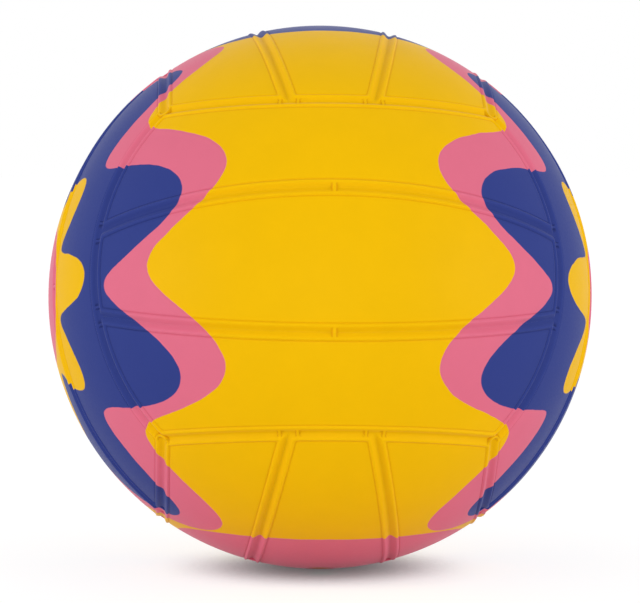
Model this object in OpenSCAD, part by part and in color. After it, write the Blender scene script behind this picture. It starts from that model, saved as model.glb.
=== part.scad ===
// Water polo ball, size 5: a bladder in a nylon winding and a rubber carcass, covered by 18 panels
// whose edges are moulded into channels with a raised bead on each side.
// The origin is the ball's centre, and +Z is up.

/* [Ball] */
// Diameter of the smooth cover, without the seam beads
ball_d = 221; // [216:0.5:226]
// Angle from the middle of a face to each of the two channels that split it into three strips
strip_angle = 14.4; // [12:0.1:17]
// How far the ball has rolled back from having its valve straight below
lay_back = 10.6; // [0:0.2:20]
// How far the ball is turned about the vertical
lay_turn = 2.9; // [0:0.1:10]

/* [Layers] */
// Thickness of a cover panel
panel_t = 1.4; // [1.2:0.05:1.8]
// Thickness of the rubber carcass under the panels
carcass_t = 0.8; // [0.5:0.05:1.2]
// Thickness of the nylon winding
winding_t = 0.4; // [0.2:0.05:0.8]
// Thickness of the bladder
bladder_t = 0.6; // [0.4:0.05:1]
// Cement line between one layer and the next
cement_gap = 0.05; // [0.03:0.01:0.1]
// Gap between two neighbouring panels, at the bottom of the channel
seam_gap = 0.04; // [0.02:0.01:0.1]

/* [Seam channels] */
// Width of a channel from one bead's crest to the other's
channel_w = 5.2; // [4.6:0.1:6]
// Depth of a channel below the smooth cover
channel_depth = 0.85; // [0.6:0.05:1]
// Height of a bead above the smooth cover
bead_h = 0.45; // [0.3:0.05:0.55]
// Width of a bead where it stands on the cover
bead_w = 1.6; // [1.4:0.1:2]

/* [Channel details] */
// Width of the rib that crosses each strip channel half way along
rib_w = 1.8; // [1.4:0.1:2.2]
// Height of that rib above the smooth cover
rib_h = 0.2; // [0.1:0.05:0.3]
// Width of the dam beside each place where a strip channel ends
dam_w = 1.5; // [1.2:0.1:1.8]
// Depth of the dam's back below the smooth cover
dam_drop = 0.2; // [0.1:0.05:0.3]
// Distance from a strip channel's middle to the dam
dam_set = 3.7; // [3.4:0.1:4.2]
// Height above the smooth cover of the arch that closes a channel at a corner
arch_h = 0.15; // [0.05:0.05:0.25]
// Width of the arch where it stands on the cover
arch_w = 1.4; // [1.2:0.1:1.6]
// Distance from the corner, back along the closed channel, to the middle of its arch
arch_set = 1.2; // [1:0.1:1.6]

/* [Valve] */
// Diameter of the valve housing where it comes through the cover
neck_d = 11; // [10:0.25:13]
// Gap between the neck and the hole in each layer
neck_gap = 0.1; // [0.05:0.05:0.2]
// Width of the slope round the neck's outer face
neck_slope = 0.4; // [0.2:0.1:0.6]
// Depth of the housing's outer face below the smooth cover
face_drop = 0.3; // [0.2:0.05:0.5]
// Length of the housing from its face to its inner end
housing_len = 17; // [15:0.5:20]
// Diameter of the flange that is bonded to the inside of the bladder
flange_d = 34; // [28:0.5:40]
// Thickness of that flange
flange_t = 1.2; // [0.8:0.1:1.6]
// Diameter of the core's shank
core_d = 5.6; // [5:0.2:6]
// Diameter of the core's head
core_head_d = 7.6; // [7:0.2:8]
// Thickness of the core's head
core_head_t = 2; // [1.6:0.1:2.4]
// Depth of the core's head below the housing's face
core_sink = 0.8; // [0.6:0.1:1.2]
// How far the core's tail reaches past the housing
core_tail = 2; // [1:0.25:3]
// Width of the slope round the end of the tail
tail_slope = 0.8; // [0.4:0.1:1]
// Gap between the core and its pocket
core_gap = 0.05; // [0.03:0.01:0.1]
// Diameter of the core's bore for an inflating needle
needle_d = 2.04; // [2:0.01:2.1]
// Diameter of the flared mouth of that bore
mouth_d = 3.6; // [3:0.1:4]
// Depth of the flared mouth
mouth_depth = 0.9; // [0.6:0.1:1.2]

/* [Hidden] */

ball_fn = 180;
ring_fn = 180;
rod_fn = 32;
cut_over = 1;

// A channel's slope, from its floor up past the bead's crest, as shares of half the channel's width
// and of its depth
slope_shares = [[-0.5, -1.3], [0.3, -0.85], [0.6, -0.45], [0.9, 0.6], [1.05, 1.8]];

// The outer back of a bead, from below the cover up past its crest, as shares of half the bead's
// width and of its height
back_shares = [[1.15, -0.2], [-1.15, 3.5]];

// The slopes along a face's own sides are a little wider and lower than those across its strips'
// ends, so that no two cones that cross at a corner have the same angle
side_shares = [1.04, 0.97];
even_shares = [1, 1];

// The section of the arch at a corner, as shares of half its width and of its height
arch_shares = [[-1, -8], [-1, -1], [-0.4, 1], [0.4, 1], [1, -1], [1, -8]];

ball_r = ball_d / 2;
crest_r = ball_r + bead_h;
reach = crest_r + cut_over;
half_gap = seam_gap / 2;

// The channels between the six faces lie on planes at this distance from the ball's centre, so
// that three of them meet at each corner of the layout
edge_plane = ball_r / sqrt(3);
edge_polar = acos(edge_plane / ball_r);
edge_ring_r = edge_plane * tan(edge_polar);

cover_in_r = ball_r - panel_t;
carcass_r = cover_in_r - cement_gap;
winding_r = carcass_r - carcass_t - cement_gap;
bladder_r = winding_r - winding_t - cement_gap;
flange_r = bladder_r - bladder_t - cement_gap;

valve_face_r = ball_r - face_drop;
housing_end_r = valve_face_r - housing_len;
core_top_r = valve_face_r - core_sink;
core_seat_r = core_top_r - core_head_t;
core_end_r = housing_end_r - core_tail;

cover_yellow = "#f3bd02";
carcass_black = "#2b2b2d";
winding_white = "#dcd8c8";
bladder_black = "#1d1d1f";
valve_yellow = "#e3ac08";
core_black = "#242426";

// Length along the cover as an angle at the ball's centre
function cover_angle(length) = length / ball_r * 180 / PI;

// Length along a channel between two faces as an angle at that channel's own axis
function edge_angle(length) = length / edge_ring_r * 180 / PI;

// Turns what is built square to the axes into the way the ball lies
module lay() {
    rotate([-lay_back, 0, 0])
        rotate([0, 0, lay_turn])
            children();
}

// A box between two opposite corners
module block(low, high) {
    translate(low)
        cube(high - low);
}

// All that lies past a line that runs round Z along the cover, towards +Z where side is 1 and
// towards -Z where it is -1. The line's section is given by its points' distances along the cover
// from the plane plane_at and their heights above the cover, from the inside outwards.
module past_line(plane_at, side, section) {
    polar = acos(plane_at / ball_r);
    points = [for (point = section)
        let (turn = polar - side * cover_angle(point.x))
        (ball_r + point.y) * [sin(turn), cos(turn)]];
    last = points[len(points) - 1];
    rotate([0, 0, 90])
        rotate_extrude($fn = ring_fn)
            polygon(concat([[0, points[0].y]], points,
                [[2 * reach, last.y], [2 * reach, 2 * side * reach], [0, 2 * side * reach]]));
}

// All that lies past a channel's slope, from its floor outwards
module past_slope(plane_at, side, size_shares) {
    past_line(plane_at, side,
        [for (share = slope_shares)
            [share.x * size_shares.x * channel_w / 2, share.y * size_shares.y * channel_depth]]);
}

// All that lies past the bead beside that channel
module past_bead(plane_at, side, size_shares) {
    past_line(plane_at, side,
        [for (share = back_shares)
            [(channel_w + share.x * size_shares.x * bead_w) / 2, share.y * size_shares.y * bead_h]]);
}

// A face is built at the front, with its middle on -Y and its strips along X. Kind 0 leaves it
// there, kind 1 brings it to the left and kind 2 to the bottom. far moves it to the other side.
module face(kind, far) {
    rotate(a = -120 * kind, v = [1, 1, 1])
        mirror([0, far ? 1 : 0, 0])
            children();
}

// The room that a face's panels fill. The front and back faces end at flat planes, and the others
// fill what those leave, so that no corner stays open.
module face_room(kind) {
    low = edge_plane - half_gap;
    high = edge_plane + half_gap;
    if (kind == 0)
        block([-reach, -reach, -low], [reach, -high, low]);
    if (kind == 1)
        difference() {
            block([-reach, -reach, -reach], [reach, -high, reach]);
            block([-high, -reach - cut_over, low], [high, 0, reach + cut_over]);
            block([-high, -reach - cut_over, -reach - cut_over], [high, 0, -low]);
        }
    if (kind == 2)
        difference() {
            block([-reach, -reach, -low], [reach, 0, low]);
            block([low, -high, -reach], [reach + cut_over, cut_over, reach]);
            block([-reach - cut_over, -high, -reach], [-low, cut_over, reach]);
        }
}

// The wedge that holds the middle strip of a face, or its upper outer one
module strip_wedge(outer) {
    apex = half_gap / sin(strip_angle);
    far_y = 2 * reach;
    middle_rise = (far_y - apex) * tan(strip_angle);
    outer_rise = (far_y + apex) * tan(strip_angle);
    middle_points = [[-apex, 0], [-far_y, middle_rise], [-far_y, -middle_rise]];
    outer_points = [[0, apex * tan(strip_angle)], [-far_y, outer_rise], [-far_y, far_y], [0, far_y]];
    rotate([90, 0, 90])
        linear_extrude(height = 2 * reach, center = true)
            polygon(outer ? outer_points : middle_points);
}

// A dam in the channel round +Z, at an angle round it
module dam(azimuth) {
    rotate([0, 0, azimuth])
        rotate([0, edge_polar, 0])
            translate([0, 0, ball_r - dam_drop - dam_w / 2])
                rotate([0, 90, 0])
                    cylinder(d = dam_w, h = channel_w, center = true, $fn = rod_fn);
}

// Where the strip channels end, as an azimuth round the channel across their ends
meet_azimuth = asin(edge_plane * tan(strip_angle) / edge_ring_r);

// The dams lie beside those ends, towards the middle strip
dam_azimuth = meet_azimuth - edge_angle(dam_set);

// The middle strip's share of the dams at its four corners
module end_dams() {
    rotate([90, 0, 0])
        for (azimuth = [dam_azimuth, -dam_azimuth, 180 - dam_azimuth, 180 + dam_azimuth])
            dam(azimuth);
}

// An outer strip's share of the dams of the face next to it, along the strip's outer side
module side_dams() {
    for (azimuth = [-90 - dam_azimuth, -90 + dam_azimuth])
        dam(azimuth);
}

// The rib across a strip channel, half way along it
module rib(side) {
    rotate([-side * strip_angle, 0, 0])
        translate([0, rib_w / 2 - rib_h - ball_r, 0])
            cylinder(d = rib_w, h = channel_w, center = true, $fn = rod_fn);
}

// The half ring that closes a channel between a side face and the top or bottom, where it reaches
// a corner of the layout. corner gives the signs of the corner's place.
module arch(corner) {
    azimuth = asin(edge_plane / edge_ring_r) - edge_angle(arch_set);
    mirror([corner.x < 0 ? 1 : 0, 0, 0])
        mirror([0, corner.y < 0 ? 1 : 0, 0])
            mirror([0, 0, corner.z < 0 ? 1 : 0])
                rotate([-azimuth, 0, 0])
                    rotate([0, 90 - edge_polar, 0])
                        translate([0, 0, ball_r])
                            rotate_extrude(start = 0, angle = 180, $fn = 2 * rod_fn)
                                polygon([for (share = arch_shares)
                                    [(channel_w + share.x * arch_w) / 2, share.y * arch_h]]);
}

// The arches at the two ends of an outer strip. The rotation brings the closed channel, which lies
// between the same faces all round the ball, to where it stands beside this kind of face.
module strip_arches(kind) {
    for (x = [-1, 1])
        rotate(a = 120 * kind, v = [1, 1, 1])
            arch([[x, -1, 1], [-1, 1, x], [1, x, -1]][kind]);
}

// Turns what is built round Z to the channel that splits a face on its upper side, or lower for -1
module to_strip_channel(side) {
    rotate([-side * strip_angle, 0, 0])
        children();
}

// Turns what is built round Z to the channel across both ends of a face's strips
module to_end_channel() {
    rotate([90, 0, 0])
        children();
}

// A strip's own piece of a ball of this size, between its flat walls and its inner face
module blank(kind, outer, out_r, in_r) {
    difference() {
        intersection() {
            sphere(r = out_r, $fn = ball_fn);
            face_room(kind);
            strip_wedge(outer);
        }
        sphere(r = in_r, $fn = ball_fn);
    }
}

// The field inside a strip's beads, from the smooth cover outwards
module field(kind, outer) {
    intersection() {
        blank(kind, outer, reach, ball_r);
        to_end_channel()
            past_bead(edge_plane, 1, even_shares);
        to_strip_channel(1)
            past_bead(0, outer ? 1 : -1, even_shares);
        if (outer)
            past_bead(edge_plane, -1, side_shares);
        else
            to_strip_channel(-1)
                past_bead(0, 1, even_shares);
    }
}

// A strip at the height of its beads, let down in the field between them and sloped to the floor of
// each of its channels
module sloped_strip(kind, outer) {
    intersection() {
        difference() {
            blank(kind, outer, crest_r, cover_in_r);
            field(kind, outer);
        }
        to_end_channel()
            past_slope(edge_plane, 1, even_shares);
        to_strip_channel(1)
            past_slope(0, outer ? 1 : -1, even_shares);
        if (outer)
            past_slope(edge_plane, -1, side_shares);
        else
            to_strip_channel(-1)
                past_slope(0, 1, even_shares);
    }
}

// The ribs, dams and arches that cross a strip's channels
module crossings(kind, outer) {
    rib(1);
    if (outer) {
        side_dams();
        strip_arches(kind);
    }
    else {
        rib(-1);
        end_dams();
    }
}

// One cover panel. The lower strip of a face is the upper one in a mirror.
module panel(kind, far, strip) {
    outer = strip != 0;
    color(cover_yellow)
        face(kind, far)
            mirror([0, 0, strip < 0 ? 1 : 0]) {
                sloped_strip(kind, outer);
                intersection() {
                    crossings(kind, outer);
                    face_room(kind);
                    strip_wedge(outer);
                }
            }
}

// The hole that lets the valve's neck through a layer
module neck_hole() {
    translate([0, 0, -reach])
        cylinder(d = neck_d + 2 * neck_gap, h = reach - housing_end_r, $fn = 2 * rod_fn);
}

// A closed layer of even thickness, with the hole for the valve
module layer(out_r, wall_t) {
    difference() {
        sphere(r = out_r, $fn = ball_fn);
        sphere(r = out_r - wall_t, $fn = ball_fn);
        neck_hole();
    }
}

module front_upper_panel() {
    lay()
        panel(0, false, 1);
}

module front_centre_panel() {
    lay()
        panel(0, false, 0);
}

module front_lower_panel() {
    lay()
        panel(0, false, -1);
}

module back_upper_panel() {
    lay()
        panel(0, true, 1);
}

module back_centre_panel() {
    lay()
        panel(0, true, 0);
}

module back_lower_panel() {
    lay()
        panel(0, true, -1);
}

module left_front_panel() {
    lay()
        panel(1, false, -1);
}

module left_centre_panel() {
    lay()
        panel(1, false, 0);
}

module left_back_panel() {
    lay()
        panel(1, false, 1);
}

module right_front_panel() {
    lay()
        panel(1, true, -1);
}

module right_centre_panel() {
    lay()
        panel(1, true, 0);
}

module right_back_panel() {
    lay()
        panel(1, true, 1);
}

module top_left_panel() {
    lay()
        panel(2, true, -1);
}

module top_centre_panel() {
    lay()
        panel(2, true, 0);
}

module top_right_panel() {
    lay()
        panel(2, true, 1);
}

module bottom_left_panel() {
    lay()
        panel(2, false, -1);
}

module bottom_centre_panel() {
    color(cover_yellow)
        lay()
            difference() {
                panel(2, false, 0);
                neck_hole();
            }
}

module bottom_right_panel() {
    lay()
        panel(2, false, 1);
}

// The moulded rubber body that the panels are laid on
module carcass() {
    color(carcass_black)
        lay()
            layer(carcass_r, carcass_t);
}

// The nylon thread that is wound round the bladder, as one even layer
module winding() {
    color(winding_white)
        lay()
            layer(winding_r, winding_t);
}

// The airtight rubber bag
module bladder() {
    color(bladder_black)
        lay()
            layer(bladder_r, bladder_t);
}

// The rubber housing that is bonded into the bladder and holds the core
module valve_housing() {
    color(valve_yellow)
        lay()
            difference() {
                union() {
                    translate([0, 0, -valve_face_r])
                        cylinder(d1 = neck_d - 2 * neck_slope, d2 = neck_d, h = neck_slope, $fn = 2 * rod_fn);
                    translate([0, 0, neck_slope - valve_face_r])
                        cylinder(d = neck_d, h = housing_len - neck_slope, $fn = 2 * rod_fn);
                    intersection() {
                        difference() {
                            sphere(r = flange_r, $fn = ball_fn);
                            sphere(r = flange_r - flange_t, $fn = ball_fn);
                        }
                        translate([0, 0, -ball_r])
                            cylinder(d = flange_d, h = ball_r - housing_end_r, $fn = 2 * rod_fn);
                    }
                }
                translate([0, 0, -valve_face_r - cut_over])
                    cylinder(d = core_head_d + 2 * core_gap, h = valve_face_r + cut_over - core_seat_r, $fn = 2 * rod_fn);
                translate([0, 0, -core_seat_r - cut_over])
                    cylinder(d = core_d + 2 * core_gap, h = housing_len + cut_over, $fn = 2 * rod_fn);
            }
}

// The rubber plug that closes round an inflating needle
module valve_core() {
    color(core_black)
        lay()
            difference() {
                union() {
                    translate([0, 0, -core_top_r])
                        cylinder(d = core_head_d, h = core_head_t, $fn = 2 * rod_fn);
                    translate([0, 0, -core_seat_r])
                        cylinder(d = core_d, h = core_seat_r - core_end_r - tail_slope, $fn = 2 * rod_fn);
                    translate([0, 0, -core_end_r - tail_slope])
                        cylinder(d1 = core_d, d2 = core_d - 2 * tail_slope, h = tail_slope, $fn = 2 * rod_fn);
                }
                translate([0, 0, -core_top_r - cut_over])
                    cylinder(d = needle_d, h = core_top_r - core_end_r + 2 * cut_over, $fn = 2 * rod_fn);
                translate([0, 0, -core_top_r])
                    cylinder(d1 = mouth_d, d2 = needle_d, h = mouth_depth, $fn = 2 * rod_fn);
            }
}

front_upper_panel();
front_centre_panel();
front_lower_panel();
back_upper_panel();
back_centre_panel();
back_lower_panel();
left_front_panel();
left_centre_panel();
left_back_panel();
right_front_panel();
right_centre_panel();
right_back_panel();
top_left_panel();
top_centre_panel();
top_right_panel();
bottom_left_panel();
bottom_centre_panel();
bottom_right_panel();
carcass();
winding();
bladder();
valve_housing();
valve_core();
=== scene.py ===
import math

import bmesh
import bpy
from bpy.props import FloatProperty, FloatVectorProperty, IntProperty, PointerProperty
from mathutils import Matrix, Vector


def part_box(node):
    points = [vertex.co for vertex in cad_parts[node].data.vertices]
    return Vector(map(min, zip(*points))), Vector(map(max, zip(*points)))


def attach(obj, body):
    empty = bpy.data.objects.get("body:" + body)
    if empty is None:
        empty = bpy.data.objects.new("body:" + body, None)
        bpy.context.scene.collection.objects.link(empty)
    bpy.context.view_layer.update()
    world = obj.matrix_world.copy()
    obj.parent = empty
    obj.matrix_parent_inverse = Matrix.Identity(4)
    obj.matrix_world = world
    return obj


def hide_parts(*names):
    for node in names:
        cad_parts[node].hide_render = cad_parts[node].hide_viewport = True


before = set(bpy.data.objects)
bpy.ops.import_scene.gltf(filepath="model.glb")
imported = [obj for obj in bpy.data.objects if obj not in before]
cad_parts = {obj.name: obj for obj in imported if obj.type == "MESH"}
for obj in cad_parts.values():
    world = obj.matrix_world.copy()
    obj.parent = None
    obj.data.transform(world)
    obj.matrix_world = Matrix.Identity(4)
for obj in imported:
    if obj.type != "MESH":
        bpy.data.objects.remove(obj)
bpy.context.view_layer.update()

bl_info = {
    "name": "Water polo ball",
    "version": (1, 0, 0),
    "blender": (4, 5, 0),
    "location": "3D View > Sidebar > Ball",
    "description": "Models a water polo ball with moulded seam channels over its packed frame",
    "category": "Object",
}

MM = 0.001

# The cover lies on the carcass, so the ball's own size comes from there
CARCASS_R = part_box("carcass")[1].z
CEMENT = 0.05 * MM
COVER_T = 1.4 * MM
BLADDER_T = 0.6 * MM

# The angle from a face's middle to the channels round it, so that three of them meet at each corner,
# and the angle round such a channel from its middle to the corner
EDGE_POLAR = math.acos(1 / math.sqrt(3))
CORNER_AZIMUTH = math.pi / 4

# Mesh faces that meet at less than the first angle are shaded as one, and edges of the valve's
# pieces sharper than the second are rounded
SMOOTH_ANGLE = math.radians(38)
SHARP_ANGLE = math.radians(35)

# Most of a noise texture's values lie between these
NOISE_RANGE = {"From Min": 0.3, "From Max": 0.7}

# Each face is built at the front with its strips along X, and turned by its kind: 0 stays, 1 goes
# to the left and 2 to the bottom. The far one is its mirror on the other side of the ball.
FACES = {
    "front": (0, False, ("lower", "centre", "upper")),
    "back": (0, True, ("lower", "centre", "upper")),
    "left": (1, False, ("front", "centre", "back")),
    "right": (1, True, ("front", "centre", "back")),
    "top": (2, True, ("left", "centre", "right")),
    "bottom": (2, False, ("left", "centre", "right")),
}

# Lines of a panel's mesh beside a channel, as shares of half its width: close together where the
# floor, the bead and the crease behind it turn
LINE_SHARES = (0, 0.15, 0.3, 0.45, 0.6, 0.74, 0.87, 1, 1.11, 1.22, 1.33, 1.45, 1.58, 1.75, 2)

# Lines beside a rib's middle and across a dam, as shares of half its width
RIB_LINES = (0, 0.3, 0.6, 0.9, 1.3, 2)
DAM_LINES = (-1.4, -1, -0.55, 0, 0.55, 1, 1.4)


def srgb(code):
    """The linear colour of an sRGB hex code, with full alpha."""
    channels = [int(code[i:i + 2], 16) / 255 for i in (1, 3, 5)]
    return tuple(c / 12.92 if c <= 0.04045 else ((c + 0.055) / 1.055) ** 2.4 for c in channels) + (1.0,)


def length_setting(name, description, default):
    """A setting that is a length in metres."""
    return FloatProperty(
        name=name, description=description, default=default, subtype="DISTANCE", unit="LENGTH", precision=6)


def angle_setting(name, description, degrees):
    """A setting that is an angle, given here in degrees."""
    return FloatProperty(
        name=name, description=description, default=math.radians(degrees), subtype="ANGLE", unit="ROTATION")


def share_setting(name, description, default):
    """A setting from 0 to 1."""
    return FloatProperty(name=name, description=description, default=default, min=0, max=1)


def number_setting(name, description, default):
    """A setting that is a plain number."""
    return FloatProperty(name=name, description=description, default=default)


def colour_setting(name, description, code):
    """A setting that is a colour, given here as its sRGB hex code."""
    return FloatVectorProperty(
        name=name, description=description, default=srgb(code), subtype="COLOR", size=4, min=0, max=1)


class BallShape(bpy.types.PropertyGroup):
    radius: length_setting("Radius", "Radius of the smooth cover", CARCASS_R + CEMENT + COVER_T)
    panel_thickness: length_setting("Panel thickness", "Thickness of a cover panel", COVER_T)
    panel_gap: length_setting(
        "Panel gap", "Gap between two panels at the floor of their channel", 0.02 * MM)
    strip_angle: angle_setting(
        "Strip angle", "Angle from the middle of a face to each of its two strip channels", 14.4)
    lay_back: angle_setting(
        "Rolled back", "How far the ball has rolled back from standing on its valve", 10.6)
    lay_turn: angle_setting("Turned", "How far the ball is turned about the vertical", 2.9)
    line_spacing: length_setting(
        "Line spacing", "Spacing of a panel's mesh lines away from its channels", 3 * MM)


class SeamShape(bpy.types.PropertyGroup):
    channel_width: length_setting("Channel width", "From one bead's crest to the other's", 5.2 * MM)
    channel_depth: length_setting("Channel depth", "Below the smooth cover", 0.85 * MM)
    bead_height: length_setting("Bead height", "Above the smooth cover", 0.45 * MM)
    bead_back: length_setting("Bead back", "Width of the bead's outer side", 0.85 * MM)
    crease_depth: length_setting("Crease depth", "Depth of the crease behind a bead", 0.16 * MM)
    crease_width: length_setting("Crease width", "From the crease to the smooth cover", 0.45 * MM)
    # Painted shade: how strongly it is drawn in a bead's crease, against that at the feet of ribs, dams and
    # arches
    crease_shade_share: share_setting(
        "Crease share", "How strongly a bead's crease shows, against those at the feet of bars", 0.4)
    corner_softness: length_setting(
        "Corner softness", "How softly two channels' beads join at a panel's corner", 0.35 * MM)
    rib_width: length_setting("Rib width", "Width of the rib half way along each strip channel", 1.8 * MM)
    rib_height: length_setting("Rib height", "Height of that rib above the smooth cover", 0.2 * MM)
    dam_width: length_setting(
        "Dam width", "Width of the dams beside each place where a strip channel ends", 1.5 * MM)
    dam_drop: length_setting("Dam drop", "Depth of a dam's back below the smooth cover", 0.15 * MM)
    dam_set: length_setting("Dam set", "From a strip channel's middle to each dam", 3.5 * MM)
    arch_width: length_setting(
        "Arch width", "Width of the arch that closes a channel at a corner", 1.4 * MM)
    arch_height: length_setting("Arch height", "Height of the arch above the smooth cover", 0.35 * MM)
    arch_set: length_setting("Arch set", "From the corner back to the middle of the arch", 1.2 * MM)
    foot_width: length_setting(
        "Foot width", "Width of the crease at the foot of a rib, dam or arch", 0.3 * MM)
    blend: length_setting(
        "Blend", "How softly ribs, dams and arches run into the channel's sides", 0.04 * MM)


class ValveShape(bpy.types.PropertyGroup):
    neck_diameter: length_setting(
        "Neck diameter", "Of the housing where it comes through the cover", 11 * MM)
    neck_gap: length_setting("Neck gap", "Between the neck and the hole in the cover", 0.1 * MM)
    face_drop: length_setting("Face drop", "Depth of the housing's face below the smooth cover", 0.3 * MM)
    housing_length: length_setting("Housing length", "From its face to its inner end", 17 * MM)
    flange_diameter: length_setting("Flange diameter", "Of the flange bonded to the bladder", 34 * MM)
    flange_thickness: length_setting("Flange thickness", "Thickness of that flange", 1.2 * MM)
    core_diameter: length_setting("Core diameter", "Of the core's shank", 5.6 * MM)
    head_diameter: length_setting("Head diameter", "Of the core's head", 7.6 * MM)
    head_thickness: length_setting("Head thickness", "Thickness of the core's head", 2 * MM)
    core_sink: length_setting("Core sink", "Depth of the core's head below the housing's face", 0.8 * MM)
    core_tail: length_setting("Core tail", "How far the core reaches past the housing", 2 * MM)
    tail_slope: length_setting("Tail slope", "Width of the slope round the end of the tail", 0.8 * MM)
    core_gap: length_setting("Core gap", "Between the core and its pocket", 0.05 * MM)
    needle_diameter: length_setting("Needle diameter", "Of the core's bore", 2.04 * MM)
    mouth_diameter: length_setting("Mouth diameter", "Of the flared mouth of that bore", 3.6 * MM)
    mouth_depth: length_setting("Mouth depth", "Depth of the flared mouth", 0.9 * MM)
    edge_round: length_setting("Edge rounding", "Width of the rounding along the moulded edges", 0.14 * MM)
    sides: IntProperty(name="Sides", description="Sides of each round piece", default=64, min=16)


class PrintLook(bpy.types.PropertyGroup):
    yellow: colour_setting("Yellow", "Colour of the cover's own rubber", "#f6bf00")
    pink: colour_setting("Pink", "Colour of the inner band and of the oval round the valve", "#e5728c")
    blue: colour_setting("Blue", "Colour of the outer band and of the oval at the top", "#334189")
    band_start: share_setting("Band start", "Where the pink band starts, as a share of the radius", 0.5)
    pink_width: share_setting("Pink width", "Width of the pink band, as a share of the radius", 0.15)
    blue_width: share_setting("Blue width", "Width of the blue band, as a share of the radius", 0.25)
    cap_start: share_setting("Cap start", "Where the pink cap starts, as a share of the radius", 0.965)
    wave_height: share_setting("Wave height", "Height of the bands' waves, as a share of the radius", 0.135)
    blue_lead: number_setting(
        "Blue lead", "How far the blue band's waves are ahead of the pink's, in radians of a wave", 0.6)
    waves: IntProperty(name="Waves", description="Waves round the ball", default=8, min=1)
    oval_across: share_setting(
        "Oval across", "Half of an oval's size across the middle strip, as a share of the radius", 0.52)
    oval_along: share_setting(
        "Oval along", "Half of an oval's size the other way, as a share of the radius", 0.4)
    edge_softness: length_setting("Edge softness", "Width over which one ink runs into the next", 0.35 * MM)
    waver_width: share_setting(
        "Waver width", "How far the inks' edges can waver, as a share of the radius", 0.012)
    waver_count: number_setting("Waver count", "Wavers of an ink's edge along a radius's length", 9)


class RubberLook(bpy.types.PropertyGroup):
    roughness: share_setting("Roughness", "Of the matte moulded cover", 0.5)
    grain: length_setting("Grain", "Size of the matte grain", 0.9 * MM)
    grain_depth: length_setting("Grain depth", "Depth of the matte grain", 0.012 * MM)
    mottle: length_setting("Mottle", "Size of the patches where the ink lies thicker or thinner", 14 * MM)
    # Painted shade in the creases: how much darker they are drawn, and how much deeper in colour as a
    # painted second bounce of light
    crease_shade: share_setting("Crease shade", "How much darker the ink is in a crease", 0.2)
    crease_painted_bounce: share_setting(
        "Crease colour", "How much deeper the ink's colour is in a crease", 0.6)
    housing_colour: colour_setting("Housing", "Colour of the valve's housing", "#c98f0c")
    core_colour: colour_setting("Core", "Colour of the valve's core", "#2a2a2c")
    carcass_colour: colour_setting("Carcass", "Colour of the carcass", "#2e2e30")
    thread_colour: colour_setting("Thread", "Colour of the nylon thread", "#dcd8c8")
    bladder_colour: colour_setting("Bladder", "Colour of the bladder", "#1d1d1f")
    dust_colour: colour_setting("Dust", "Colour of the mould dust on the inner layers", "#b9b7b0")
    thread_spacing: length_setting("Thread spacing", "From one turn of thread to the next", 1.3 * MM)


class StageLook(bpy.types.PropertyGroup):
    camera_distance: length_setting("Camera distance", "From the ball's centre", 1.244)
    camera_height: angle_setting("Camera height", "Angle above the level of the ball's centre", 3)
    lens: number_setting("Lens", "Focal length in millimetres", 171.4)
    drop: number_setting("Drop", "How far the frame is moved down, as a share of its width", -0.0067)
    sky_level: number_setting("Sky level", "Strength of the even light from all round", 0.65)
    side_level: number_setting("Side level", "Strength of the broad light from each side", 1.1)
    front_level: number_setting("Front level", "Strength of the broad light from the front", 0.6)
    lamp_breadth: angle_setting("Lamp breadth", "How broad each lamp looks from the ball", 28)
    floor_share: share_setting(
        "Floor share", "Share of its own light that the floor shows to the camera", 0.3)
    # The floor's glow to the camera and in reflections, dimmed by ambient occlusion near the ball as a
    # painted contact shadow
    floor_white: share_setting(
        "Floor white", "White that the floor shows to the camera where nothing stands over it", 0.82)
    floor_covered: share_setting(
        "Floor covered", "White that the floor shows to the camera where a thing touches it", 0.09)
    open_share: share_setting(
        "Open share", "Share of the space over the floor that is open where that white is full", 0.36)
    shadow_reach: length_setting(
        "Shadow reach", "How far over the floor a thing still shades that white", 0.1)
    floor_colour: colour_setting("Floor", "Colour of the floor", "#fdfdfd")


def ball_turn(shape):
    """The turn from a ball that stands on its valve to the ball as it lies."""
    return Matrix.Rotation(-shape.lay_back, 4, "X") @ Matrix.Rotation(shape.lay_turn, 4, "Z")


def edge_ring(shape):
    """The radius of the circle on which a channel between two faces runs."""
    return shape.radius * math.sqrt(2 / 3)


def meet_azimuth(shape):
    """How far round the channel beside a face each of the face's strip channels runs into it."""
    return math.asin(math.tan(shape.strip_angle) / math.sqrt(2))


def line_distances(shape, seams):
    """Distances from a channel's middle at which a panel's mesh has a line."""
    half = seams.channel_width / 2
    return [max(share * half, shape.panel_gap / 2) for share in LINE_SHARES]


def strip_rows(shape, seams, outer):
    """The planes of the lines along a strip, each as (y, z, distance) of its normal form."""
    radius = shape.radius
    rise, run = math.sin(shape.strip_angle), math.cos(shape.strip_angle)
    near = line_distances(shape, seams)
    if outer:
        low = [(rise, run, radius * math.sin(t / radius)) for t in near]
        high = [(0, 1, radius * math.cos(EDGE_POLAR + t / radius)) for t in near]
        # An outer strip is widest at its ends, where it reaches from a strip channel to the corner
        width = edge_ring(shape) * (CORNER_AZIMUTH - meet_azimuth(shape))
    else:
        low = [(-rise, run, radius * math.sin(t / radius)) for t in near]
        high = [(rise, run, -radius * math.sin(t / radius)) for t in near]
        width = radius * 2 * shape.strip_angle
    steps = math.ceil((width - 2 * near[-1]) / shape.line_spacing)
    between = []
    for step in range(1, steps):
        share = step / steps
        between.append(tuple((1 - share) * a + share * b for a, b in zip(low[-1], high[-1])))
    return low + between + high[::-1]


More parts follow.
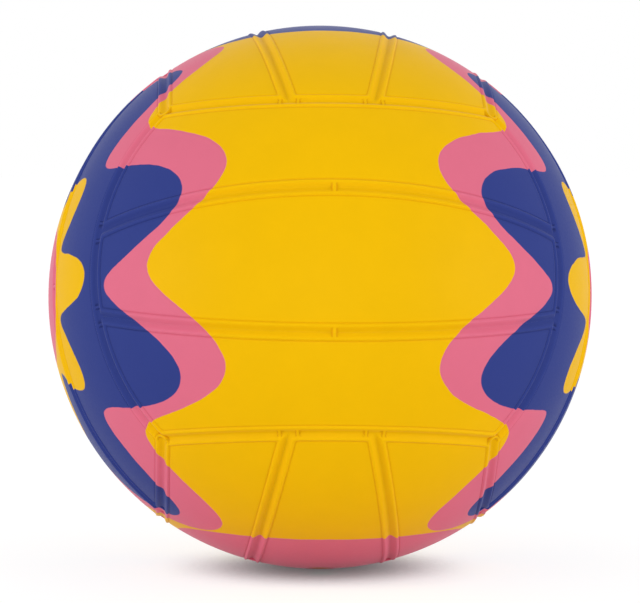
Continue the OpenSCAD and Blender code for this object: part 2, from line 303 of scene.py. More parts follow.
def strip_columns(shape, seams, outer):
    """The planes of the lines across a strip. Near each end they run along the end's channel, at a
    place in Y, and between the ends they fan out from an upright line, at an angle from -Y."""
    radius = shape.radius
    near = line_distances(shape, seams)
    ends = [-radius * math.cos(EDGE_POLAR - t / radius) for t in near]
    hinge = ends[-1]
    reach = EDGE_POLAR - near[-1] / radius
    steps = math.ceil(radius * reach / shape.line_spacing)

    def fan(across, depth):
        return math.atan2(across, -depth + hinge)

    rib_half = seams.rib_width / 2
    special = [fan(share * rib_half, -radius) for share in RIB_LINES]
    if outer:
        ring = edge_ring(shape)
        for dam in dam_azimuths(shape, seams):
            for share in DAM_LINES:
                azimuth = dam + share * seams.dam_width / 2 / ring
                special.append(fan(ring * math.sin(azimuth), -ring * math.cos(azimuth)))
    plain = []
    for step in range(1, steps):
        angle = reach * step / steps
        found = fan(radius * math.sin(angle), -radius * math.cos(angle))
        if min(abs(found - other) for other in special) > reach / steps / 2:
            plain.append(found)
    right = sorted(special + plain)
    left = [-angle for angle in right[:0:-1]]
    return (
        [("end", -1, place) for place in ends]
        + [("fan", hinge, angle) for angle in left + right]
        + [("end", 1, place) for place in ends[::-1]]
    )


def dam_azimuths(shape, seams):
    """Where the two dams beside the end of a strip channel lie round the channel that it runs into,
    from the middle of the face whose strips end there."""
    meet = meet_azimuth(shape)
    aside = seams.dam_set / edge_ring(shape)
    return meet - aside, meet + aside


def crossing_point(radius, row, column):
    """The point of the ball where a strip's row and column cross."""
    normal_y, normal_z, distance = row
    kind, first, second = column
    if kind == "end":
        y = second
        z = (distance - normal_y * y) / normal_z
        return Vector((first * math.sqrt(radius ** 2 - y ** 2 - z ** 2), y, z))
    hinge, angle = first, second
    start = (distance - normal_y * hinge) / normal_z
    slope = normal_y * math.cos(angle) / normal_z
    square = 1 + slope ** 2
    half_linear = start * slope - hinge * math.cos(angle)
    constant = hinge ** 2 + start ** 2 - radius ** 2
    out = (math.sqrt(half_linear ** 2 - square * constant) - half_linear) / square
    return Vector((out * math.sin(angle), hinge - out * math.cos(angle), start + slope * out))


def section_height(seams, distance):
    """The cover's height at a distance from a channel's middle: its floor, the slope up to the bead,
    the bead's outer side, and the crease that runs out into the smooth cover."""
    half = seams.channel_width / 2
    if distance <= half:
        rise = (1 - math.cos(math.pi * distance / half)) / 2
        return rise * (seams.channel_depth + seams.bead_height) - seams.channel_depth
    if distance <= half + seams.bead_back:
        fall = (1 - math.cos(math.pi * (distance - half) / seams.bead_back)) / 2
        return seams.bead_height - fall * (seams.bead_height + seams.crease_depth)
    fade = min((distance - half - seams.bead_back) / seams.crease_width, 1)
    return -seams.crease_depth * (1 + math.cos(math.pi * fade)) / 2


def soft_least(values, softness):
    """The least of some lengths, run softly from one to the next."""
    least = min(values)
    return least - softness * math.log(sum(math.exp((least - v) / softness) for v in values))


def bar_height(top, half_width, offset):
    """The height of a half-round bar at an offset from its middle line."""
    return top - half_width + math.sqrt(half_width ** 2 - offset ** 2)


def arch_centres(shape, seams, kind):
    """Where the arches that an outer strip has a part of are centred, and which way they bulge."""
    ring = edge_ring(shape)
    azimuth = CORNER_AZIMUTH - seams.arch_set / ring
    plane, along, up = shape.radius / math.sqrt(3), ring * math.sin(azimuth), ring * math.cos(azimuth)
    if kind == 0:
        return [(Vector((side * plane, -along, up)), Vector((0, -up, -along))) for side in (-1, 1)]
    if kind == 1:
        return [(Vector((side * up, -plane, along)), Vector((-side * along, 0, up))) for side in (-1, 1)]
    return [(Vector((side * along, -up, plane)), Vector((side * up, along, 0))) for side in (-1, 1)]


def relief_at(shape, seams, kind, outer, point):
    """The cover's height at a point of a strip, above the smooth ball, and how far the point lies in a
    crease, from 0 to 1: behind a bead, or at the foot of a rib, dam or arch. That share sets the painted
    shade drawn in the crease."""
    radius = shape.radius
    rise, run = math.sin(shape.strip_angle), math.cos(shape.strip_angle)
    ring = edge_ring(shape)
    from_end = radius * (EDGE_POLAR - math.acos(-point.y / radius))
    from_strip = abs(radius * math.asin((rise * point.y + run * point.z) / radius))
    dammed = [(from_end, math.atan2(point.z, abs(point.x)))]
    if outer:
        other = radius * (math.acos(point.z / radius) - EDGE_POLAR)
        dammed.append((other, math.atan2(point.x, -point.y)))
    else:
        other = abs(radius * math.asin((run * point.z - rise * point.y) / radius))
    half = seams.channel_width / 2
    distance = soft_least((from_end, from_strip, other), seams.corner_softness)
    height = section_height(seams, distance)
    # The crease share weights the painted shade that the material draws here
    crease = seams.crease_shade_share * max(-height / seams.crease_depth, 0) if distance > half else 0.0
    bars = []
    from_ribbed = from_strip if outer else min(from_strip, other)
    if from_ribbed < half:
        bars.append((seams.rib_height, seams.rib_width / 2, radius * math.asin(point.x / radius)))
    for from_channel, azimuth in dammed:
        if from_channel < half:
            for dam in dam_azimuths(shape, seams):
                bars.append((-seams.dam_drop, seams.dam_width / 2, ring * (abs(azimuth) - dam)))
    if outer:
        for centre, ahead in arch_centres(shape, seams, kind):
            away = point - centre
            if away.dot(ahead) > 0:
                bars.append((seams.arch_height, seams.arch_width / 2, away.length - half))
    for top, half_width, offset in bars:
        if top > height:
            crease = max(crease, 1 - abs(abs(offset) - half_width) / seams.foot_width)
        if abs(offset) < half_width:
            height = -soft_least((-height, -bar_height(top, half_width, offset)), seams.blend)
    return min(max(height, -seams.channel_depth), seams.bead_height), crease


def select_only(piece):
    """Leaves one object selected and active."""
    bpy.ops.object.select_all(action="DESELECT")
    piece.select_set(True)
    bpy.context.view_layer.objects.active = piece


def apply_modifier(piece, modifier):
    """Makes what a modifier does part of the piece's own mesh."""
    select_only(piece)
    bpy.ops.object.modifier_apply(modifier=modifier.name)


def turn_outwards(piece):
    """Recalculates a closed mesh's normals, so that its faces point outwards."""
    select_only(piece)
    bpy.ops.object.mode_set(mode="EDIT")
    bpy.ops.mesh.select_all(action="SELECT")
    bpy.ops.mesh.normals_make_consistent(inside=False)
    bpy.ops.object.mode_set(mode="OBJECT")


def place(piece, matrix):
    """Puts a piece in its place and leaves its object at the origin, unturned and unscaled."""
    select_only(piece)
    piece.matrix_world = matrix
    bpy.ops.object.transform_apply(location=True, rotation=True, scale=True)
    turn_outwards(piece)


def model_strip(shape, seams, kind, outer):
    """Models one strip of a face at the front: a grid laid along its channels, raised and let down
    by a weight at each vertex, and given its thickness by an extrusion towards the ball's centre."""
    rows = strip_rows(shape, seams, outer)
    columns = strip_columns(shape, seams, outer)
    bpy.ops.object.select_all(action="DESELECT")
    bpy.ops.mesh.primitive_grid_add(
        x_subdivisions=len(columns) - 1, y_subdivisions=len(rows) - 1, size=1)
    strip = bpy.context.active_object
    mesh = strip.data
    if len(mesh.vertices) != len(rows) * len(columns):
        raise RuntimeError("The grid doesn't have a vertex for each crossing of the strip's lines")
    floor_r = shape.radius - seams.channel_depth
    swing = seams.channel_depth + seams.bead_height
    heights, creases = [], []
    for vertex in mesh.vertices:
        column = columns[round((vertex.co.x + 0.5) * (len(columns) - 1))]
        row = rows[round((vertex.co.y + 0.5) * (len(rows) - 1))]
        point = crossing_point(shape.radius, row, column)
        height, crease = relief_at(shape, seams, kind, outer, point)
        heights.append(height)
        creases.append(crease)
        vertex.co = point * (floor_r / shape.radius)
    mesh.update()
    group = strip.vertex_groups.new(name="raise")
    for index, height in enumerate(heights):
        group.add([index], (height + seams.channel_depth) / swing, "REPLACE")
    raised = strip.modifiers.new("Raise the beads", "DISPLACE")
    raised.vertex_group = group.name
    raised.mid_level = 0
    raised.strength = swing
    apply_modifier(strip, raised)
    strip.vertex_groups.clear()
    # The relief and the crease share go to the material, which paints shade and light from them
    reliefs = [height / seams.channel_depth for height in heights]
    for name, values in (("relief", reliefs), ("crease", creases)):
        mesh.attributes.new(name, "FLOAT", "POINT").data.foreach_set("value", values)

    centre = (0, 0, 0)
    bpy.ops.object.mode_set(mode="EDIT")
    bpy.ops.mesh.select_all(action="SELECT")
    bpy.ops.mesh.extrude_region_move(TRANSFORM_OT_translate={"value": centre})
    bpy.ops.transform.tosphere(value=1, center_override=centre)
    inner = [v for v in bmesh.from_edit_mesh(mesh).verts if v.select]
    shrink = (shape.radius - shape.panel_thickness) / inner[0].co.length
    bpy.ops.transform.resize(value=(shrink, shrink, shrink), center_override=centre)
    bpy.ops.object.mode_set(mode="OBJECT")
    turn_outwards(strip)
    return strip


def face_matrix(kind, far):
    """Brings a face from the front to where it belongs."""
    side = Matrix.Scale(-1 if far else 1, 4, Vector((0, 1, 0)))
    return Matrix.Rotation(-kind * math.tau / 3, 4, Vector((1, 1, 1))) @ side


def finish_piece(piece, node, material):
    """Dresses a piece and has it stand for its node of the frame."""
    piece.name = node + "_cover" if node.endswith("panel") else node + "_rubber"
    piece.data.name = piece.name
    piece.data.materials.clear()
    piece.data.materials.append(material)
    select_only(piece)
    bpy.ops.object.shade_smooth_by_angle(angle=SMOOTH_ANGLE)
    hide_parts(node)
    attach(piece, "root")


def add_node(tree, kind, sockets=None, **settings):
    """Adds a shader node with its settings, and sets or links each of its named sockets."""
    made = tree.nodes.new("ShaderNode" + kind)
    for name, value in settings.items():
        setattr(made, name, value)
    for name, value in (sockets or {}).items():
        if isinstance(value, bpy.types.NodeSocket):
            tree.links.new(value, made.inputs[name])
        else:
            made.inputs[name].default_value = value
    return made


def new_material(name):
    """An empty node material with its output, as (material, tree, output)."""
    material = bpy.data.materials.new(name)
    material.use_nodes = True
    tree = material.node_tree
    tree.nodes.clear()
    return material, tree, add_node(tree, "OutputMaterial")


def printed_rubber(shape, seams, look, inks):
    """Natural and synthetic rubber, moulded matte with the ink in its skin. The eye gets a soft broad
    sheen that pales towards the edges, clean ink edges that cross the channels, and a fine grain."""
    material, tree, output = new_material("Matte moulded rubber, printed")
    place_on = add_node(tree, "TexCoord")
    turned = add_node(tree, "Mapping", {
        "Vector": place_on.outputs["Object"],
        "Rotation": (shape.lay_back, 0, -shape.lay_turn),
        "Scale": (1 / shape.radius,) * 3})

    # The rubber is drawn into the mould, so the ink's edges waver by a fraction of a millimetre
    waver = add_node(tree, "TexNoise", {
        "Vector": turned.outputs["Vector"], "Scale": inks.waver_count, "Detail": 3.0})
    wavered = add_node(tree, "VectorMath", {
        0: waver.outputs["Color"], 1: (0.5, 0.5, 0.5)}, operation="SUBTRACT")
    shifted = add_node(tree, "VectorMath", {
        0: wavered.outputs["Vector"], 1: (inks.waver_width,) * 3, 2: turned.outputs["Vector"]},
        operation="MULTIPLY_ADD")
    axes = add_node(tree, "SeparateXYZ", {"Vector": shifted.outputs["Vector"]})

    from_middle = add_node(tree, "Math", {0: axes.outputs["X"]}, operation="ABSOLUTE")
    back = add_node(tree, "Math", {0: axes.outputs["Y"], 1: -1.0}, operation="MULTIPLY")
    round_x = add_node(tree, "Math", {
        0: axes.outputs["Z"], 1: back.outputs[0]}, operation="ARCTAN2")
    edge = inks.edge_softness / shape.radius

    def past(value, place, turn, height):
        """1 past a wavy line at a place on the ball, 0 before it."""
        phase = add_node(tree, "Math", {
            0: round_x.outputs[0], 1: float(inks.waves), 2: turn}, operation="MULTIPLY_ADD")
        wave = add_node(tree, "Math", {0: phase.outputs[0]}, operation="COSINE")
        line = add_node(tree, "Math", {
            0: wave.outputs[0], 1: height, 2: place}, operation="MULTIPLY_ADD")
        ahead = add_node(tree, "Math", {0: value, 1: line.outputs[0]}, operation="SUBTRACT")
        return add_node(tree, "MapRange", {
            "Value": ahead.outputs[0], "From Min": -edge / 2, "From Max": edge / 2},
            interpolation_type="SMOOTHSTEP").outputs["Result"]

    # Each ink is printed over those before it. The yellow field's waves are lower than the bands' and
    # run the other way
    middle = from_middle.outputs[0]
    blue_start = inks.band_start + inks.pink_width
    field_start = blue_start + inks.blue_width
    layers = [
        (inks.pink, past(middle, inks.band_start, 0.0, inks.wave_height)),
        (inks.blue, past(middle, blue_start, inks.blue_lead, inks.wave_height)),
        (inks.yellow, past(middle, field_start, 0.0, -inks.wave_height / 3)),
        (inks.pink, past(middle, inks.cap_start, 0.0, 0.0))]

    # The ovals at the top and round the valve lie crosswise over the middle strip
    flat = add_node(tree, "VectorMath", {
        0: shifted.outputs["Vector"], 1: (1 / inks.oval_across, 1 / inks.oval_along, 0)},
        operation="MULTIPLY")
    spread = add_node(tree, "VectorMath", {0: flat.outputs["Vector"]}, operation="LENGTH")
    inside = add_node(tree, "MapRange", {
        "Value": spread.outputs["Value"], "From Min": 1 + edge, "From Max": 1 - edge},
        interpolation_type="SMOOTHSTEP")
    for up, ink in ((1.0, inks.blue), (-1.0, inks.pink)):
        side = add_node(tree, "Math", {0: axes.outputs["Z"], 1: up}, operation="MULTIPLY")
        on_side = add_node(tree, "Math", {0: side.outputs[0], 1: 0.0}, operation="GREATER_THAN")
        share = add_node(tree, "Math", {
            0: on_side.outputs[0], 1: inside.outputs["Result"]}, operation="MULTIPLY")
        layers.append((ink, share.outputs[0]))
    colour = tuple(inks.yellow)
    for ink, share in layers:
        colour = add_node(tree, "Mix", {
            "Factor": share, 6: colour, 7: tuple(ink)}, data_type="RGBA").outputs[2]

    # Ink lies a little thicker in some patches, a real mottle. Over it goes painted shade from the relief:
    # darker down on the channels' floors and lighter on the beads' crests. The creases get painted shade
    # too, darker and with a deeper colour, standing in for light that goes from side to side there
    mottle = add_node(tree, "TexNoise", {
        "Vector": turned.outputs["Vector"], "Scale": shape.radius / look.mottle, "Detail": 4.0,
        "Roughness": 0.6})
    relief = add_node(tree, "Attribute", attribute_name="relief")
    crest = seams.bead_height / seams.channel_depth
    # Painted shade and light: darker on the channels' floors, lighter on the beads' crests
    painted_relief_shade = add_node(tree, "MapRange", {
        "Value": relief.outputs["Fac"], "From Min": -1.0, "From Max": crest,
        "To Min": 0.95, "To Max": 1.02})
    patches = add_node(tree, "MapRange", {
        "Value": mottle.outputs["Fac"], **NOISE_RANGE, "To Min": 0.985, "To Max": 1.01})
    crease = add_node(tree, "Attribute", attribute_name="crease").outputs["Fac"]
    # Painted bounce light: in the creases the colour is multiplied by itself, as a second bounce of light
    # would deepen it
    deeper = add_node(tree, "Math", {
        0: crease, 1: look.crease_painted_bounce}, operation="MULTIPLY")
    colour = add_node(tree, "Mix", {
        "Factor": deeper.outputs[0], 6: colour, 7: colour},
        data_type="RGBA", blend_type="MULTIPLY").outputs[2]
    # Painted shade: the creases are drawn darker
    painted_crease_shade = add_node(tree, "MapRange", {
        "Value": crease, "To Min": 1.0, "To Max": 1 - look.crease_shade})
    # The mottle times the painted relief shade
    mottle_and_relief_shade = add_node(tree, "Math", {
        0: painted_relief_shade.outputs["Result"], 1: patches.outputs["Result"]}, operation="MULTIPLY")
    # Times the painted crease shade as well, so the colour's level carries all the painted shade
    level = add_node(tree, "Math", {
        0: mottle_and_relief_shade.outputs[0], 1: painted_crease_shade.outputs["Result"]}, operation="MULTIPLY")
    shaded = add_node(tree, "HueSaturation", {"Color": colour, "Value": level.outputs[0]})

    # Real grain is about 0.2 mm, too fine to show in the render, so it is drawn at the size given
    grain = add_node(tree, "TexNoise", {
        "Vector": turned.outputs["Vector"], "Scale": shape.radius / look.grain, "Detail": 2.0,
        "Roughness": 0.55})
    sheen_spread = 0.05
    sheen = add_node(tree, "MapRange", {
        "Value": grain.outputs["Fac"], **NOISE_RANGE,
        "To Min": look.roughness - sheen_spread, "To Max": look.roughness + sheen_spread})
    bump = add_node(tree, "Bump", {
        "Height": grain.outputs["Fac"], "Distance": look.grain_depth, "Strength": 1.0})
    surface = add_node(tree, "BsdfPrincipled", {
        "Base Color": shaded.outputs["Color"], "Roughness": sheen.outputs["Result"],
        "Normal": bump.outputs["Normal"], "IOR": 1.5, "Specular IOR Level": 0.05,
        "Sheen Weight": 0.12, "Sheen Roughness": 0.3})
    tree.links.new(surface.outputs["BSDF"], output.inputs["Surface"])
    return material


def plain_rubber(name, look, colour, roughness, grain, depth, dust):
    """Moulded rubber in one colour. The eye gets a dull surface with a fine grain, and pale mould
    dust in patches where dust is above 0."""
    material, tree, output = new_material(name)
    place_on = add_node(tree, "TexCoord")
    fine = add_node(tree, "TexNoise", {
        "Vector": place_on.outputs["Object"], "Scale": 1 / grain, "Detail": 3.0})
    patch = 20 * grain
    broad = add_node(tree, "TexNoise", {
        "Vector": place_on.outputs["Object"], "Scale": 1 / patch, "Detail": 4.0, "Roughness": 0.65})
    dusted = add_node(tree, "MapRange", {
        "Value": broad.outputs["Fac"], "From Min": 0.5, "From Max": 0.75, "To Min": 0.0, "To Max": dust})
    tint = add_node(tree, "Mix", {
        "Factor": dusted.outputs["Result"], 6: tuple(colour), 7: tuple(look.dust_colour)},
        data_type="RGBA")
    level = add_node(tree, "MapRange", {
        "Value": fine.outputs["Fac"], **NOISE_RANGE, "To Min": 0.92, "To Max": 1.06})
    shaded = add_node(tree, "HueSaturation", {
        "Color": tint.outputs[2], "Value": level.outputs["Result"]})
    spread = 0.06
    dull = add_node(tree, "MapRange", {
        "Value": broad.outputs["Fac"], "To Min": roughness - spread, "To Max": roughness + spread})
    bump = add_node(tree, "Bump", {
        "Height": fine.outputs["Fac"], "Distance": depth, "Strength": 1.0})
    surface = add_node(tree, "BsdfPrincipled", {
        "Base Color": shaded.outputs["Color"], "Roughness": dull.outputs["Result"],
        "Normal": bump.outputs["Normal"], "IOR": 1.52})
    tree.links.new(surface.outputs["BSDF"], output.inputs["Surface"])
    return material


def wound_nylon(look):
    """Nylon thread, wound over the bladder in every direction and set in latex. The eye gets fine
    pale lines that cross each other, with a dull shine along each thread."""
    material, tree, output = new_material("Wound nylon thread")
    place_on = add_node(tree, "TexCoord")
    # How far apart the wave texture's bands are at a scale of 1, a twentieth of tau
    band = 0.314
    depth = None
    for turn in ((0, 0, 0), (1.1, 0.3, 0), (0.4, -1.2, 0.7), (-0.7, 0.9, 1.9)):
        turned = add_node(tree, "Mapping", {
            "Vector": place_on.outputs["Object"], "Rotation": turn})
        turns = add_node(tree, "TexWave", {
            "Vector": turned.outputs["Vector"], "Scale": band / look.thread_spacing,
            "Distortion": 0.6, "Detail": 1.0}, wave_profile="SIN", bands_direction="Z")
        if depth is None:
            depth = turns.outputs["Fac"]
        else:
            depth = add_node(tree, "Math", {
                0: depth, 1: turns.outputs["Fac"]}, operation="MAXIMUM").outputs[0]
    shade = add_node(tree, "MapRange", {"Value": depth, "To Min": 0.55, "To Max": 1.05})
    shaded = add_node(tree, "HueSaturation", {
        "Color": tuple(look.thread_colour), "Value": shade.outputs["Result"]})
    dull = add_node(tree, "MapRange", {"Value": depth, "To Min": 0.7, "To Max": 0.45})
    bump = add_node(tree, "Bump", {
        "Height": depth, "Distance": look.thread_spacing / 5, "Strength": 1.0})
    surface = add_node(tree, "BsdfPrincipled", {
        "Base Color": shaded.outputs["Color"], "Roughness": dull.outputs["Result"],
        "Normal": bump.outputs["Normal"], "IOR": 1.53})
    tree.links.new(surface.outputs["BSDF"], output.inputs["Surface"])
    return material


class BALL_OT_cover_panels(bpy.types.Operator):
    """Models the middle strip and the three outer strips and copies them over the ball"""

    bl_idname = "ball.cover_panels"
    bl_label = "Cover panels"

    def execute(self, context):
        scene = context.scene
        shape, seams = scene.ball_shape, scene.seam_shape
        material = printed_rubber(shape, seams, scene.rubber_look, scene.print_look)
        middle = model_strip(shape, seams, 0, False)
        outers = [model_strip(shape, seams, kind, True) for kind in range(3)]
        for face, (kind, far, strips) in FACES.items():
            for strip, strip_name in zip((-1, 0, 1), strips):
                select_only(outers[kind] if strip else middle)
                bpy.ops.object.duplicate()
                panel = context.active_object
                below = Matrix.Scale(-1 if strip < 0 else 1, 4, Vector((0, 0, 1)))
                place(panel, ball_turn(shape) @ face_matrix(kind, far) @ below)
                node = f"{face}_{strip_name}_panel"
                if node == "bottom_centre_panel":
                    self.cut_neck_hole(panel, shape, scene.valve_shape)
                finish_piece(panel, node, material)
        for model in [middle] + outers:
            bpy.data.objects.remove(model)
        return {"FINISHED"}

    def cut_neck_hole(self, panel, shape, valve):
        """Cuts the hole through which the valve's neck shows."""
        long_enough = 8 * shape.panel_thickness
        bpy.ops.object.select_all(action="DESELECT")
        bpy.ops.mesh.primitive_cylinder_add(
            vertices=valve.sides, radius=valve.neck_diameter / 2 + valve.neck_gap,
            depth=long_enough, location=(0, 0, -shape.radius))
        cutter = bpy.context.active_object
        select_only(cutter)
        bpy.ops.object.transform_apply(location=True, rotation=True, scale=True)
        place(cutter, ball_turn(shape))
        hole = panel.modifiers.new("Neck hole", "BOOLEAN")
        hole.operation = "DIFFERENCE"
        hole.object = cutter
        hole.solver = "EXACT"
        apply_modifier(panel, hole)
        bpy.data.objects.remove(cutter)


class BALL_OT_valve(bpy.types.Operator):
    """Models the valve's housing and its core, ring by ring"""

    bl_idname = "ball.valve"
    bl_label = "Valve"

    def execute(self, context):
        scene = context.scene
        shape, valve, look = scene.ball_shape, scene.valve_shape, scene.rubber_look
        face_r = shape.radius - valve.face_drop
        end_r = face_r - valve.housing_length
        core_top = face_r - valve.core_sink
        seat = core_top - valve.head_thickness
        neck = valve.neck_diameter / 2
        # The slopes at the edges of the housing's face are a twelfth of the neck's radius
        lip = neck / 12
        pocket = valve.head_diameter / 2 + valve.core_gap
        bore = valve.core_diameter / 2 + valve.core_gap
        flange = valve.flange_diameter / 2
        flange_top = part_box("bladder")[1].z - BLADDER_T - CEMENT
        flange_in = flange_top - valve.flange_thickness
        steps = 4
        over = [neck + (flange - neck) * step / steps for step in range(steps + 1)]
        rings = [(pocket, face_r - lip), (pocket + lip, face_r), (neck - lip, face_r), (neck, face_r - lip)]
        rings += [(r, math.sqrt(flange_top ** 2 - r ** 2)) for r in over]
        rings += [(r, math.sqrt(flange_in ** 2 - r ** 2)) for r in over[::-1]]
        rings += [(neck, end_r), (bore, end_r), (bore, seat), (pocket, seat)]
        housing = self.turn_rings(rings, shape, valve)
        finish_piece(housing, "valve_housing", plain_rubber(
            "Moulded valve rubber", look, look.housing_colour,
            roughness=0.5, grain=0.3 * MM, depth=0.01 * MM, dust=0.0))

        head, shank = valve.head_diameter / 2, valve.core_diameter / 2
        needle, mouth = valve.needle_diameter / 2, valve.mouth_diameter / 2
        tail = end_r - valve.core_tail
        head_round = valve.tail_slope / 4
        # Two rings of the mouth's flare, by the radius at their end of it and by its depth
        flare_in, flare_out = (1.15, 0.6), (0.85, 0.15)
        rings = [
            (needle, core_top - valve.mouth_depth),
            (needle * flare_in[0], core_top - valve.mouth_depth * flare_in[1]),
            (mouth * flare_out[0], core_top - valve.mouth_depth * flare_out[1]), (mouth, core_top),
            (head - head_round, core_top), (head, core_top - head_round), (head, seat), (shank, seat),
            (shank, tail + valve.tail_slope), (shank - valve.tail_slope, tail), (needle, tail)]
        core = self.turn_rings(rings, shape, valve)
        finish_piece(core, "valve_core", plain_rubber(
            "Moulded butyl rubber", look, look.core_colour,
            roughness=0.45, grain=0.25 * MM, depth=0.008 * MM, dust=0.15))
        return {"FINISHED"}

    def turn_rings(self, rings, shape, valve):
        """A closed body of revolution, extruded from ring to ring and bridged back to the first."""
        radius, height = rings[0]
        bpy.ops.object.select_all(action="DESELECT")
        bpy.ops.mesh.primitive_circle_add(
            vertices=valve.sides, radius=radius, fill_type="NOTHING", location=(0, 0, 0))
        piece = bpy.context.active_object
        bpy.ops.object.mode_set(mode="EDIT")
        bpy.ops.mesh.select_all(action="SELECT")
        bpy.ops.transform.translate(value=(0, 0, height))
        for next_radius, next_height in rings[1:]:
            bpy.ops.mesh.extrude_edges_move(
                TRANSFORM_OT_translate={"value": (0, 0, next_height - height)})
            share = next_radius / radius
            bpy.ops.transform.resize(value=(share, share, 1), center_override=(0, 0, next_height))
            radius, height = next_radius, next_height
        bpy.ops.mesh.select_all(action="DESELECT")
        bpy.ops.mesh.select_non_manifold()
        bpy.ops.mesh.bridge_edge_loops()
        bpy.ops.object.mode_set(mode="OBJECT")
        turn_outwards(piece)
        rounded = piece.modifiers.new("Moulded edges", "BEVEL")
        rounded.width = valve.edge_round
        rounded.segments = 2
        rounded.limit_method = "ANGLE"
        rounded.angle_limit = SHARP_ANGLE
        apply_modifier(piece, rounded)
        place(piece, ball_turn(shape) @ Matrix.Rotation(math.pi, 4, "X"))
        return piece


class BALL_OT_inner_layers(bpy.types.Operator):
    """Gives the carcass, the winding and the bladder their materials"""

    bl_idname = "ball.inner_layers"
    bl_label = "Inner layers"

    def execute(self, context):
        look = context.scene.rubber_look
        materials = {
            "carcass": plain_rubber(
                "Moulded carcass rubber", look, look.carcass_colour,
                roughness=0.62, grain=0.5 * MM, depth=0.03 * MM, dust=0.25),
            "winding": wound_nylon(look),
            "bladder": plain_rubber(
                "Dipped butyl rubber", look, look.bladder_colour,
                roughness=0.4, grain=0.7 * MM, depth=0.01 * MM, dust=0.45),
        }
        for name, material in materials.items():
            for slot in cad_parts[name].material_slots:
                slot.material = material
        return {"FINISHED"}


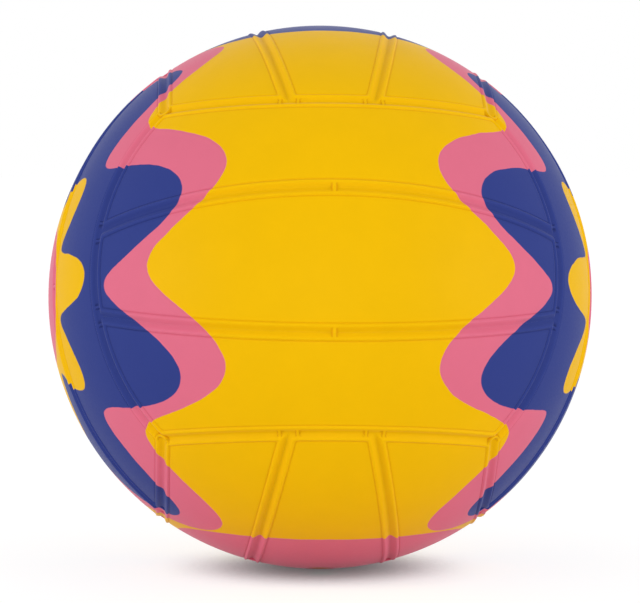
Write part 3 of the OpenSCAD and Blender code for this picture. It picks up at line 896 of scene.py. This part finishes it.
class BALL_OT_stage(bpy.types.Operator):
    """Lays the pale floor and sets the light and the camera"""

    bl_idname = "ball.stage"
    bl_label = "Stage"

    def execute(self, context):
        scene = context.scene
        look, shape = scene.stage_look, scene.ball_shape
        self.lay_floor(look, shape.radius)
        self.light_from_all_round(scene, look)
        for name, location, level in (
                ("Left lamp", (-2.3, -1.0, 0.2), look.side_level),
                ("Right lamp", (2.3, -1.0, 0.2), look.side_level),
                ("Front lamp", (0, -2.5, 0.05), look.front_level)):
            self.add_lamp(scene, name, location, look.lamp_breadth, level)
        camera = bpy.data.objects.new("Camera", bpy.data.cameras.new("Camera"))
        scene.collection.objects.link(camera)
        camera.data.lens = look.lens
        camera.data.sensor_width = 36
        camera.data.shift_y = look.drop
        camera.data.clip_end = 100
        camera.location = Vector((0, -math.cos(look.camera_height), math.sin(look.camera_height)))
        camera.location *= look.camera_distance
        camera.rotation_euler = (math.pi / 2 - look.camera_height, 0, 0)
        scene.camera = camera
        scene.view_settings.view_transform = "Standard"
        return {"FINISHED"}

    def shown_rays(self, tree):
        """1 for the rays that show the background: to the camera, in reflections and through glass."""
        ray = add_node(tree, "LightPath")
        seen = add_node(tree, "Math", {
            0: ray.outputs["Is Camera Ray"], 1: ray.outputs["Is Glossy Ray"]}, operation="MAXIMUM")
        return add_node(tree, "Math", {
            0: seen.outputs[0], 1: ray.outputs["Is Transmission Ray"]}, operation="MAXIMUM").outputs[0]

    def lay_floor(self, look, depth):
        """A plain pale floor under the ball's centre, white to the camera where no shadow falls. To the
        camera and in reflections it also glows, with a painted contact shadow in that glow.
        """
        bpy.ops.object.select_all(action="DESELECT")
        floor_size = 24
        bpy.ops.mesh.primitive_plane_add(size=floor_size, location=(0, 0, -depth))
        floor = bpy.context.active_object
        select_only(floor)
        bpy.ops.object.transform_apply(location=True, rotation=True, scale=True)
        floor.name = "Studio floor"
        material, tree, output = new_material("Matte white paper")
        place_on = add_node(tree, "TexCoord")
        fibre_size = 6 * MM
        fibre = add_node(tree, "TexNoise", {
            "Vector": place_on.outputs["Object"], "Scale": 1 / fibre_size, "Detail": 2.0})
        level = add_node(tree, "MapRange", {
            "Value": fibre.outputs["Fac"], "To Min": 0.995, "To Max": 1.0})
        tint = add_node(tree, "HueSaturation", {
            "Color": tuple(look.floor_colour), "Value": level.outputs["Result"]})
        shown = self.shown_rays(tree)
        share = add_node(tree, "MapRange", {
            "Value": shown, "To Min": 1.0, "To Max": look.floor_share})
        seen = add_node(tree, "VectorMath", {
            0: tint.outputs["Color"], "Scale": share.outputs["Result"]}, operation="SCALE")
        paper = add_node(tree, "BsdfDiffuse", {"Color": seen.outputs["Vector"]})
        # The glow to the camera and in reflections is dimmed by ambient occlusion where the ball stands
        # over the floor: a painted contact shadow, neutral in colour, laid over the paper's real lit shade
        clear = add_node(tree, "AmbientOcclusion", {"Distance": look.shadow_reach})
        white = add_node(tree, "MapRange", {
            "Value": clear.outputs["AO"], "From Max": look.open_share,
            "To Min": look.floor_covered, "To Max": look.floor_white},
            interpolation_type="SMOOTHSTEP")
        lift = add_node(tree, "Math", {
            0: white.outputs["Result"], 1: shown}, operation="MULTIPLY")
        glow = add_node(tree, "Emission", {"Strength": lift.outputs[0]})
        both = add_node(tree, "AddShader", {
            0: paper.outputs["BSDF"], 1: glow.outputs["Emission"]})
        tree.links.new(both.outputs["Shader"], output.inputs["Surface"])
        floor.data.materials.append(material)

    def light_from_all_round(self, scene, look):
        """An even white surround, which is plain white to the camera and in reflections."""
        world = bpy.data.worlds.new("Studio")
        scene.world = world
        world.use_nodes = True
        tree = world.node_tree
        tree.nodes.clear()
        strength = add_node(tree, "MapRange", {
            "Value": self.shown_rays(tree), "To Min": look.sky_level, "To Max": 1.0})
        light = add_node(tree, "Background", {
            "Color": (1, 1, 1, 1), "Strength": strength.outputs["Result"]})
        output = add_node(tree, "OutputWorld")
        tree.links.new(light.outputs["Background"], output.inputs["Surface"])

    def add_lamp(self, scene, name, location, breadth, level):
        """A broad soft lamp that faces the ball."""
        data = bpy.data.lights.new(name, "SUN")
        data.angle = breadth
        data.energy = level
        lamp = bpy.data.objects.new(name, data)
        scene.collection.objects.link(lamp)
        lamp.location = location
        lamp.rotation_euler = Vector(location).to_track_quat("Z", "Y").to_euler()


class BALL_PT_sidebar(bpy.types.Panel):
    """A button for each operator, and all the settings"""

    bl_idname = "BALL_PT_sidebar"
    bl_label = "Water polo ball"
    bl_space_type = "VIEW_3D"
    bl_region_type = "UI"
    bl_category = "Ball"

    def draw(self, context):
        layout = self.layout
        for operator in OPERATORS:
            layout.operator(operator.bl_idname)
        for name in SETTINGS:
            settings = getattr(context.scene, name)
            box = layout.box()
            for setting in settings.bl_rna.properties:
                if setting.identifier not in ("rna_type", "name"):
                    box.prop(settings, setting.identifier)


OPERATORS = (BALL_OT_cover_panels, BALL_OT_valve, BALL_OT_inner_layers, BALL_OT_stage)
SETTINGS = {
    "ball_shape": BallShape,
    "seam_shape": SeamShape,
    "valve_shape": ValveShape,
    "print_look": PrintLook,
    "rubber_look": RubberLook,
    "stage_look": StageLook,
}


def register():
    for name, group in SETTINGS.items():
        bpy.utils.register_class(group)
        setattr(bpy.types.Scene, name, PointerProperty(type=group))
    for operator in OPERATORS:
        bpy.utils.register_class(operator)
    bpy.utils.register_class(BALL_PT_sidebar)


def unregister():
    bpy.utils.unregister_class(BALL_PT_sidebar)
    for operator in reversed(OPERATORS):
        bpy.utils.unregister_class(operator)
    for name, group in SETTINGS.items():
        delattr(bpy.types.Scene, name)
        bpy.utils.unregister_class(group)


def main():
    register()
    bpy.ops.ball.cover_panels()
    bpy.ops.ball.valve()
    bpy.ops.ball.inner_layers()
    bpy.ops.ball.stage()


if __name__ == "__main__":
    main()
